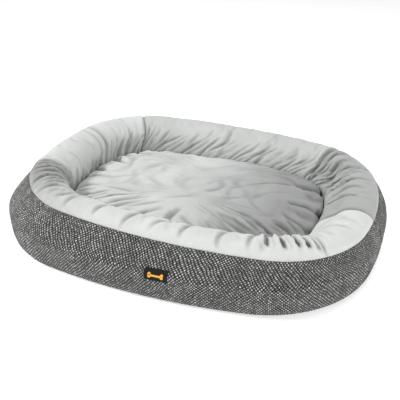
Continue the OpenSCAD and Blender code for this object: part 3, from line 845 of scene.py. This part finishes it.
# Dents, as noise cell and depth in mm, and crumples, as cell, sharpness and depth
CUSHION_DENTS = ((62, 3.6), (27, 1.3))
CUSHION_BENT = (85, 30)
CUSHION_CRUMPLES = ((84, 2.5, 3.4), (60, 3, 1.6))
CUSHION_EDGE = 26 * MM
CUSHION_IN, CUSHION_OUT = 15 * MM, 3 * MM
CUSHION_FULLNESS = 0.012
CUSHION_CRISP = 0.35
DOME_CURVE = 4
# The filling's size, as shares of the cover's along each axis
CUSHION_FILL = (0.93, 0.93, 0.8)


def cushion_rings(low, high):
    """Shares of the way from the centre to the seam, and heights, evenly spaced along the dome."""
    k = 1 - np.linspace(0, 1, 400) ** 2
    rise = (high - low) * np.sqrt(1 - k**DOME_CURVE)
    dome = np.stack([k * (HALF_DEPTH + CUSHION_OUTSET), low + rise], axis=1)
    rings, along = resampled(dome, CUSHION_STEP)
    return rings[:, 0] / (HALF_DEPTH + CUSHION_OUTSET), rings[:, 1], along


def build_cushion():
    """The loose cushion: a settled upper cover, an under cover and the fibre between them."""
    turns = even_turns(0, 360, CUSHION_STEP, CUSHION_OUTSET)[:-1]
    around, place_of = ring_at(CUSHION_OUTSET)
    edge = np.stack(outline_at(turns, CUSHION_OUTSET), axis=-1)
    share, z, along = cushion_rings(CUSHION_SEAM, CUSHION_HIGH - 2 * MM)
    plan = edge[:, None, :] * share[None, :, None]
    nominal = np.concatenate([plan, np.broadcast_to(z[None, :, None], plan.shape[:2] + (1,))], axis=-1)
    normals = surface_normals(nominal, True)
    lines = folds_of(CUSHION_FOLDS, place_of)
    centre = eased(share / 0.12)
    gathers = fold_lines(place_of(turns)[:, None], along[None, :], around, lines) * eased(share / 0.5)
    x, y = nominal[..., 0], nominal[..., 1]
    dents = sum(plane_noise(x, y, cell * MM) * deep * MM for cell, deep in CUSHION_DENTS)
    bent = plane_noise(x, y, CUSHION_BENT[0] * MM) * CUSHION_BENT[1] * MM
    slant, rise = 0.8 * x + 0.6 * y, 0.8 * y - 0.6 * x
    ways = ((slant + bent, rise - bent), (rise - bent, slant * 0.6 + bent))
    for (a, b), (cell, sharpness, deep) in zip(ways, CUSHION_CRUMPLES):
        dents += crumples(plane_noise(a, b, cell * MM), sharpness) * deep * MM
    height = gathers + dents * centre * eased(along / (30 * MM))
    height = np.minimum(height, 0.4 * MM + 5 * MM * eased(along / CUSHION_EDGE)) - 0.4 * MM
    p = nominal + normals * height[..., None]
    p[:, -1] = [0, 0, z[-1]]
    weight = np.ones(p.shape[:2]) * centre[None, :]
    weight[:, 0] = 0
    ceiling = np.minimum(0.2 * MM + 6 * MM * eased(along / CUSHION_EDGE), CUSHION_OUT)

    def limit(q):
        out = ((q - nominal) * normals).sum(-1)
        back = np.clip(out, -CUSHION_IN, ceiling[None, :]) - out
        return q + normals * back[..., None] * (weight > 0)[..., None]

    fullness = np.full(weight.shape, CUSHION_FULLNESS)
    p = settle(p, weight, fullness, fullness, limit)
    p = limit(p + normals * (np.minimum(CUSHION_CRISP * gathers, 0.3 * MM) * (weight > 0))[..., None])

    uv = np.stack(grid_of(np.arange(len(turns)), np.arange(len(share))), -1) * CUSHION_STEP
    # Painted shade and highlight of the folds, fading out towards the middle of the cushion
    relief = 1 + (painted_fold_shade(p) - 1) * np.minimum(1, share / 0.15)[None, :]
    top = make_piece("cushion_top_cover", p, grid_faces(len(turns), len(share), True), uv, relief=relief)
    finished(closed_cloth(top), "cushion", CUSHION_PLUSH, "cushion_plush", "cushion_top")

    share, z, along = cushion_rings(CUSHION_SEAM, CUSHION_LOW)
    below = edge[:, None, :] * share[None, :, None]
    drawn = (p[:, :1, :2] - edge[:, None, :]) * np.exp(-along / (30 * MM))[None, :, None]
    lift = (p[:, :1, 2] - CUSHION_SEAM) * np.exp(-along / (12 * MM))[None, :]
    q = np.concatenate([below + drawn, (z[None, :] + lift)[..., None]], axis=-1)
    faces = grid_faces(len(turns), len(share), True)[:, ::-1]
    bottom = make_piece("cushion_under_cover", q, faces, uv[:, :len(share)], relief=np.ones(q.shape[:2]))
    finished(closed_cloth(bottom), "cushion", CUSHION_PLUSH, "cushion_plush", "cushion_bottom")

    rows = np.concatenate([p[::3, ::3][:, ::-1], q[::3, ::3][:, 1:]], axis=1)
    middle = np.array([0, 0, CUSHION_SEAM])
    rows = middle + (rows - middle) * CUSHION_FILL
    fibre = welded(make_piece("cushion_fibre", rows, grid_faces(*rows.shape[:2], True)[:, ::-1]))
    finished(fibre, "cushion", FILLING, "filling", "cushion_filling")


# --- the tweed wall

WEAVE = 3.1 * MM
POINTS_PER_YARN = 3
WALLS = (("wall_front", 245, 355), ("wall_right", -5, 65), ("wall_back", 65, 175), ("wall_left", 175, 245))
WEAVE_DEPTH = 0.55 * MM
HEM = 2.5 * MM
# Slack of the panels: rows in a noise cell, cells from foot to rim, and height in mm
WALL_SLACK = ((90, 4, 0.8), (25, 3, 0.4))
SEAM_SINK, SEAM_WIDTH, RIM_SINK = 1.6 * MM, 3 * MM, 0.8 * MM
BACK_TURN, ZIP_HALF_TURN, ZIP_TOP = 90, 7.5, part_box("zip_tape_upper")[1][2]
LIP_DEPTH = HALF_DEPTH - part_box("zip_tape_upper")[1][1]


def weave_height(u, v):
    """How far each point of the weave stands out: yarns rise over the squares of their own colour."""
    i, j = np.floor(u + 1e-6).astype(int), np.floor(v + 1e-6).astype(int)
    x, y = u - i, v - j
    up = (i + j) % 2
    long, short = np.where(up, 0.45, 1.1), np.where(up, 1.1, 0.45)
    across = np.sin(np.pi * np.clip(x, 0, 1)) ** long * np.sin(np.pi * np.clip(y, 0, 1)) ** short
    random_size = DRAWS.uniform(0.6, 1.25, (i.max() + 2, j.max() + 2))[i, j]
    return across * random_size * (0.7 + 0.6 * up)


def hemmed(p, out, u, v, depth):
    """A grid of cloth with its four edges turned in, and its UVs carried on over them."""
    for axis in (0, 1):
        ends = [np.take(p - out * depth, [k], axis) for k in (0, -1)]
        outs = [np.take(out, [k], axis) for k in (0, -1)]
        us, vs = [[np.take(w, [k], axis) for k in (0, -1)] for w in (u, v)]
        step = depth / WEAVE
        if axis == 0:
            us = [us[0] - step, us[1] + step]
        else:
            vs = [vs[0] - step, vs[1] + step]
        pairs = ((ends, p), (outs, out), (us, u), (vs, v))
        p, out, u, v = (np.concatenate([e[0], w, e[1]], axis) for e, w in pairs)
    return p, u, v


def build_wall(name, first, last):
    """One woven panel of the wall. The back one has a window for the zip, with its edge turned in."""
    step = WEAVE / POINTS_PER_YARN
    turns = even_turns(first, last, step, 0)
    profile, along = resampled(wall_profile(UNDERSIDE, RIM_HEIGHT), step)
    u, v = (w / POINTS_PER_YARN for w in grid_of(np.arange(len(turns)), np.arange(len(profile))))
    p = skin(turns[:, None], profile[None, :, 0], profile[None, :, 1])
    out = surface_normals(p, False)
    slack = sum(smooth_noise(u.shape, (max(4, len(turns) // span), cells)) * rise * MM
                for span, cells, rise in WALL_SLACK)
    slack *= np.sin(np.pi * np.linspace(0, 1, len(profile)))[None, :]
    row = np.arange(len(turns))
    seam = np.minimum(row, row[::-1]) * step
    slack -= SEAM_SINK * bell(seam / SEAM_WIDTH)[:, None]
    slack[:, -4:] -= RIM_SINK * np.linspace(0, 1, 4)
    p = p + out * (weave_height(u, v) * WEAVE_DEPTH + slack)[..., None]
    folded, uu, vv = hemmed(p, out, u, v, HEM)
    faces = grid_faces(*folded.shape[:2])
    points, uv = folded.reshape(-1, 3), np.stack([uu, vv], -1).reshape(-1, 2)
    if name == "wall_back":
        inside = np.abs(turns - BACK_TURN) < ZIP_HALF_TURN
        i0, i1 = np.flatnonzero(inside)[[0, -1]]
        j1 = int(np.argmax(profile[:, 1] > ZIP_TOP))
        columns = folded.shape[1]
        i, j = faces[:, 0] // columns - 1, faces[:, 0] % columns - 1
        faces = faces[~((i >= i0) & (i < i1) & (j < j1))]
        path = [(i0, k) for k in range(j1)] + [(k, j1) for k in range(i0, i1)]
        path += [(i1, k) for k in range(j1, -1, -1)]
        at = tuple(np.array(path).T)
        depth = np.linspace(0, LIP_DEPTH, 5)
        lip = p[at][:, None] - out[at][:, None] * depth[None, :, None]
        lip_uv = np.stack([u[at][:, None] + 0 * depth, v[at][:, None] + depth / WEAVE], -1)
        faces = np.concatenate([faces, grid_faces(len(path), 5)[:, ::-1] + len(points)])
        points = np.concatenate([points, lip.reshape(-1, 3)])
        uv = np.concatenate([uv, lip_uv.reshape(-1, 2)])
    piece = make_piece(name + "_tweed", points, faces, uv)
    finished(piece, "bed_shell", TWEED, "tweed", name)


# --- threads and rods

ROD_SIDES = 6
ROD_RINGS = ((0.0, 0.45), (0.14, 1.0), (0.5, 1.0), (0.86, 1.0), (1.0, 0.45))


def rods(name, starts, ends, ups, radius, arch=0.0):
    """One mesh of small round-ended rods, arched away from what they lie on."""
    starts, ends, ups = (np.asarray(w, float) for w in (starts, ends, ups))
    run = ends - starts
    side = np.cross(run, ups)
    side /= np.linalg.norm(side, axis=1, keepdims=True)
    over = np.cross(side, run)
    over /= np.linalg.norm(over, axis=1, keepdims=True)
    a = np.linspace(0, 2 * np.pi, ROD_SIDES, endpoint=False)
    circle = side[:, None] * np.cos(a)[None, :, None] + over[:, None] * np.sin(a)[None, :, None]
    rings = [(starts + run * f + over * arch * math.sin(math.pi * f))[:, None] + circle * radius * r
             for f, r in ROD_RINGS]
    points = np.stack(rings, axis=1).reshape(-1, 3)
    one = [list(f) for f in grid_faces(len(ROD_RINGS), ROD_SIDES)]
    for k in range(0, (len(ROD_RINGS) - 1) * ROD_SIDES, ROD_SIDES):
        one.append([k + ROD_SIDES - 1, k + 2 * ROD_SIDES - 1, k + ROD_SIDES, k])
    last = (len(ROD_RINGS) - 1) * ROD_SIDES
    one += [list(range(ROD_SIDES))[::-1], [last + k for k in range(ROD_SIDES)]]
    size = len(ROD_RINGS) * ROD_SIDES
    faces = [[int(v) + n * size for v in f] for n in range(len(starts)) for f in one]
    return make_piece(name, points, faces)


def stitches(name, paths, body, material, slot, length=3.4 * MM, gap=1.3 * MM, radius=0.32 * MM):
    """Threads along paths, each given as its points and the directions out of the cloth there."""
    starts, ends, ups = [], [], []
    for path, out in paths:
        along = run_along(path)
        at = np.arange(gap, along[-1] - length, length + gap)
        a, b, up = ([np.interp(at + d, along, w[:, k]) for k in range(3)]
                    for d, w in ((0, path), (length, path), (length / 2, out)))
        starts.append(np.stack(a, 1))
        ends.append(np.stack(b, 1))
        ups.append(np.stack(up, 1))
    piece = rods(name, np.concatenate(starts), np.concatenate(ends), np.concatenate(ups), radius, radius)
    return finished(piece, body, material, slot)


def build_seam_threads(p, starts):
    """Topstitching on both sides of the two seams at the left end."""
    out = surface_normals(p, True)
    rows = []
    for (_, first, _), start in zip(PANELS, starts):
        if first in STITCHED_TURNS:
            rows += [start - 3, start + 3]
    paths = [(p[r, 4:-8] + out[r, 4:-8] * 0.25 * MM, out[r, 4:-8]) for r in rows]
    stitches("plush_topstitch", paths, "bed_shell", PALE_THREAD, "plush")


# --- the side label

LABEL_X = sum(corner[0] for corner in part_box("side_label")) / 2
LABEL_LOW, LABEL_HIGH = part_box("side_label")[0][2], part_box("side_label")[1][2]
LABEL_LENGTH, LABEL_HEIGHT = 41 * MM, 21 * MM
LABEL_PROUD, LABEL_THICK = 1.5 * MM, 0.9 * MM
LABEL_STITCH_INSET = 2.4 * MM
# The turned border's height and width, how far its edge sinks, and the rise and ripple of the middle
LABEL_FOLD, LABEL_FOLD_WIDTH, LABEL_EDGE_SINK = 0.45 * MM, 1.5 * MM, 0.7 * MM
LABEL_SOFT_EDGE, LABEL_PILLOW, LABEL_RIPPLE = 1 * MM, 0.7 * MM, 0.18 * MM
BONE_REACH, BONE_SPREAD, BONE_LOBE, BONE_BAR = 11 * MM, 2.1 * MM, 2.8 * MM, 1.8 * MM
BONE_RISE, BONE_THICK, BONE_BEVEL = 1.15 * MM, 0.8 * MM, 0.3 * MM
FRONT_TURN = 270


def on_wall(x, z, proud):
    """Points on the front wall, from lengths along it and heights, standing proud of it."""
    profile = wall_profile(UNDERSIDE, RIM_HEIGHT)
    turn = FRONT_TURN + np.degrees(np.arcsin(LABEL_X / SIDE_RADIUS) + x / SIDE_RADIUS)
    return skin(turn, np.interp(z, profile[:, 1], profile[:, 0]) + proud, z)


def build_label():
    """A woven patch with a turned border, a bone in satin stitch and the thread that holds it."""
    middle = (LABEL_LOW + LABEL_HIGH) / 2
    x, z = grid_of(np.linspace(-0.5, 0.5, 101) * LABEL_LENGTH, np.linspace(-0.5, 0.5, 53) * LABEL_HEIGHT)
    border = np.minimum(LABEL_LENGTH / 2 - np.abs(x), LABEL_HEIGHT / 2 - np.abs(z))
    fold = LABEL_FOLD * (1 - eased((border - LABEL_FOLD_WIDTH) / LABEL_SOFT_EDGE))
    fold -= LABEL_EDGE_SINK * (1 - eased(border / LABEL_SOFT_EDGE))
    pillow = LABEL_PILLOW * np.sin(np.pi * (x / LABEL_LENGTH + 0.5))
    pillow *= np.sin(np.pi * (z / LABEL_HEIGHT + 0.5))
    ripple = smooth_noise(x.shape, (9, 5)) * LABEL_RIPPLE
    proud = LABEL_PROUD + fold + pillow + ripple
    uv = np.stack([x, z], -1)
    piece = make_piece("label_patch", on_wall(x, z + middle, proud), grid_faces(*x.shape), uv)
    add_modifier(piece, "SOLIDIFY", thickness=LABEL_THICK, offset=-1)
    finished(applied(piece), "bed_shell", LABEL_CLOTH, "label", "side_label")

    outline = bone_outline(BONE_REACH, BONE_SPREAD, BONE_LOBE, BONE_BAR)
    points = on_wall(outline[:, 0], outline[:, 1] + middle, LABEL_PROUD + BONE_RISE)
    bone = make_piece("label_bone", points, [range(len(outline))])
    add_modifier(bone, "SOLIDIFY", thickness=BONE_THICK, offset=-1)
    add_modifier(bone, "BEVEL", width=BONE_BEVEL, segments=2)
    finished(applied(bone), "bed_shell", AMBER_THREAD, "label")

    w, h = LABEL_LENGTH / 2 - LABEL_STITCH_INSET, LABEL_HEIGHT / 2 - LABEL_STITCH_INSET
    corners = np.array([(-w, -h), (w, -h), (w, h), (-w, h), (-w, -h)])
    paths = []
    for a, b in zip(corners[:-1], corners[1:]):
        line = a + (b - a) * np.linspace(0, 1, 24)[:, None]
        points = on_wall(line[:, 0], line[:, 1] + middle, LABEL_PROUD + LABEL_FOLD)
        paths.append((points, on_wall(line[:, 0], line[:, 1] + middle, 10 * MM) - points))
    stitches("label_stitching", paths, "bed_shell", DARK_THREAD, "label", 1.9 * MM, 0.8 * MM, 0.2 * MM)


def bone_outline(reach, spread, lobe, bar):
    """A bone lying along x: two round lobes at each end of a bar."""
    touch = math.degrees(math.atan2(-spread, math.sqrt(lobe**2 - spread**2)))
    leave = 180 + math.degrees(math.asin((spread - bar) / lobe))
    a = np.radians(np.linspace(touch, leave, 22))
    quarter = np.stack([reach + lobe * np.cos(a), spread + lobe * np.sin(a)], axis=1)
    upper = np.concatenate([quarter, quarter[::-1] * [-1, 1]])
    return np.concatenate([upper, upper[1:-1][::-1] * [1, -1]])


# --- base and floor

def slab(name, outset, low, high, relief, step=6 * MM):
    """A soft flat layer: its top carries relief, and its edge is rounded."""
    turns = even_turns(0, 360, step, outset)[:-1]
    edge = np.stack(outline_at(turns, outset), axis=-1)
    share = 1 - np.linspace(0, 1, int(HALF_DEPTH / step)) ** 1.2
    plan = edge[:, None, :] * share[None, :, None]
    bulge = (high - low) / 2 * (1 - np.exp(-(1 - share) * HALF_DEPTH / (high - low)))
    middle = (low + high) / 2
    top = middle + bulge[None, :] - relief(plan[..., 0], plan[..., 1]) * (share < 0.97)
    under = np.broadcast_to(middle - bulge, plan.shape[:2])
    levels = np.concatenate([under[:, ::-1], top], axis=1)
    plan = np.concatenate([plan[:, ::-1], plan], axis=1)
    p = np.concatenate([plan, levels[..., None]], axis=-1)
    return welded(make_piece(name, p, grid_faces(*p.shape[:2], True), relief=np.ones(p.shape[:2])))


DOT_PITCH, DOT_RADIUS, DOT_RISE, DOT_MARGIN = 13 * MM, 2.1 * MM, 0.9 * MM, 6 * MM
DOTS_ACROSS, DOTS_DEEP = 30, 27
DOT_RINGS = ((1.0, 1.0), (0.86, 0.55), (0.5, 0.12))
DOT_SIDES = 10


def build_base():
    """The layers under the cushion, and the raised dots that the bed stands on."""
    def outset_of(node):
        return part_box(node)[1][0] - HALF_LENGTH

    def quilted(x, y):
        return (0.35 + 0.35 * plane_noise(x, y, 40 * MM)) * MM

    def flat(x, y):
        return 0 * x

    low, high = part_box("floor_panel")[0][2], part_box("floor_panel")[1][2]
    floor = slab("well_floor", outset_of("floor_panel"), low, high, quilted)
    finished(floor, "bed_shell", FLOOR_PLUSH, "plush", "floor_panel")
    low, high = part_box("base_padding")[0][2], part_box("base_padding")[1][2]
    padding = slab("base_fibre", outset_of("base_padding"), low, high - 0.1 * MM, flat, 12 * MM)
    finished(padding, "bed_shell", FILLING, "filling", "base_padding")
    outset = outset_of("base_panel")
    cloth = slab("underside", outset, 0.7 * MM, UNDERSIDE - 0.05 * MM, flat)
    finished(cloth, "bed_shell", UNDERSIDE_CLOTH, "underside_fabric", "base_panel")

    x, y = grid_of(np.arange(-DOTS_ACROSS, DOTS_ACROSS + 1), np.arange(-DOTS_DEEP, DOTS_DEEP + 1))
    centres = np.stack([(x + (y % 2) / 2) * DOT_PITCH, y * DOT_PITCH * math.sqrt(3) / 2], axis=-1)
    centres = centres.reshape(-1, 2)
    turn = np.arange(0, 360, 1.0)
    edge = np.stack(outline_at(turn, outset - DOT_MARGIN), axis=-1)
    angle = np.arctan2(edge[:, 1], edge[:, 0])
    order = np.argsort(angle)
    reach = np.interp(np.arctan2(centres[:, 1], centres[:, 0]), angle[order],
                      np.linalg.norm(edge, axis=1)[order], period=2 * np.pi)
    centres = centres[np.linalg.norm(centres, axis=1) < reach]
    a = np.linspace(0, 2 * np.pi, DOT_SIDES, endpoint=False)
    one = np.array([[r * DOT_RADIUS * math.cos(t), r * DOT_RADIUS * math.sin(t), z * DOT_RISE]
                    for r, z in DOT_RINGS for t in a] + [[0, 0, 0]])
    points = one[None] + np.concatenate([centres, np.zeros((len(centres), 1))], axis=1)[:, None]
    n = DOT_SIDES
    faces = [[r * n + k, r * n + (k + 1) % n, (r + 1) * n + (k + 1) % n, (r + 1) * n + k][::-1]
             for r in range(len(DOT_RINGS) - 1) for k in range(n)]
    faces += [[(len(DOT_RINGS) - 1) * n + k, (len(DOT_RINGS) - 1) * n + (k + 1) % n, len(DOT_RINGS) * n][::-1]
              for k in range(n)]
    faces.append(list(range(n)))
    every = [[v + m * len(one) for v in f] for m in range(len(centres)) for f in faces]
    dots = make_piece("grip_dots", points.reshape(-1, 3), every)
    finished(dots, "bed_shell", GRIP, "underside_fabric")


# --- the zip

TOOTH_PITCH = 1.35 * MM
TOOTH_REACH = (0.35 * MM, 2.4 * MM)
TOOTH_RADIUS = 0.48 * MM
ZIP_FINISHES = (
    ("zip_tape_upper", ZIP_CLOTH), ("zip_tape_lower", ZIP_CLOTH), ("zip_end_stops", METAL),
    ("zip_slider", METAL), ("zip_pull", METAL),
)


def build_zip():
    """Teeth in place of the plain coils, and better finishes on the CAD's tapes, stops, slider and pull."""
    low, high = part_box("zip_coil_upper"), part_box("zip_coil_lower")
    half_x = low[1][0]
    level = (low[0][2] + high[1][2]) / 2
    radius = low[1][1] + SIDE_OFFSET - TOOTH_RADIUS
    reach = math.asin(half_x / (radius + TOOTH_RADIUS))
    turns = np.arange(-reach, reach, TOOTH_PITCH / radius)
    for name, side, shift in (("upper", 1, 0), ("lower", -1, 0.5)):
        t = turns + shift * TOOTH_PITCH / radius
        t = t[t < reach]
        x, y = radius * np.sin(t), radius * np.cos(t) - SIDE_OFFSET
        starts = np.stack([x, y, level + side * TOOTH_REACH[0] + 0 * t], axis=1)
        ends = np.stack([x, y, level + side * TOOTH_REACH[1] + 0 * t], axis=1)
        ups = np.stack([np.sin(t), np.cos(t), 0 * t], axis=1)
        teeth = rods("zip_teeth_" + name, starts, ends, ups, TOOTH_RADIUS)
        finished(teeth, "bed_shell", ZIP_PLASTIC, "zip_coil", "zip_coil_" + name)
    for node, material in ZIP_FINISHES:
        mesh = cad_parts[node].data
        mesh.materials.clear()
        mesh.materials.append(material)


# --- stage and light

FLOOR_HALF, FLOOR_GLOW = 20, 0.45
# The sky: two heights, and how strong its light is at each
SKY_FADE = (0.08, 0.45, 1.0, 0.33)
# Soft lights: place, size and power
LIGHTS = {
    "key": ((-2.0, -0.7, 2.1), 0.7, 50), "fill": ((1.6, -1.5, 1.0), 1.2, 18),
    "top": ((0.4, 0.5, 2.0), 1.0, 16), "left": ((-1.9, 0.1, 0.5), 0.8, 5),
}


def build_stage():
    """A plain pale floor, a soft white sky and four soft lights."""
    corners = [(x * FLOOR_HALF, y * FLOOR_HALF, 0) for x, y in ((-1, -1), (1, -1), (1, 1), (-1, 1))]
    floor = make_piece("floor", corners, [(0, 1, 2, 3)], smooth=False)
    g = Nodes("floor")
    grain = g.noise(3, 2, g.place())
    g.set(Base_Color=g.mix(grain, (0.88, 0.88, 0.88), (0.90, 0.90, 0.90)), Roughness=0.7,
          Emission_Color=(1, 1, 1, 1), Emission_Strength=FLOOR_GLOW)
    floor.data.materials.append(g.material)
    world = bpy.data.worlds.new("studio")
    bpy.context.scene.world = world
    world.use_nodes = True
    sky = world.node_tree
    direction = sky.nodes.new("ShaderNodeTexCoord")
    split = sky.nodes.new("ShaderNodeSeparateXYZ")
    height = sky.nodes.new("ShaderNodeMapRange")
    for socket, value in zip(height.inputs[1:5], SKY_FADE):
        socket.default_value = value
    sky.links.new(direction.outputs["Generated"], split.inputs[0])
    sky.links.new(split.outputs[2], height.inputs[0])
    sky.links.new(height.outputs[0], sky.nodes["Background"].inputs[1])
    sky.nodes["Background"].inputs[0].default_value = (1, 1, 1, 1)
    bpy.context.scene.view_settings.view_transform = "Standard"
    for name, (place, size, power) in LIGHTS.items():
        light = bpy.data.objects.new(name, bpy.data.lights.new(name, "AREA"))
        light.data.size, light.data.energy = size, power
        light.location = place
        light.rotation_euler = Vector(place).to_track_quat("Z", "Y").to_euler()
        bpy.context.scene.collection.objects.link(light)


build_stage()
build_seam_threads(*build_bolster())
build_filling()
build_cushion()
build_label()
build_base()
build_zip()
for wall in WALLS:
    build_wall(*wall)
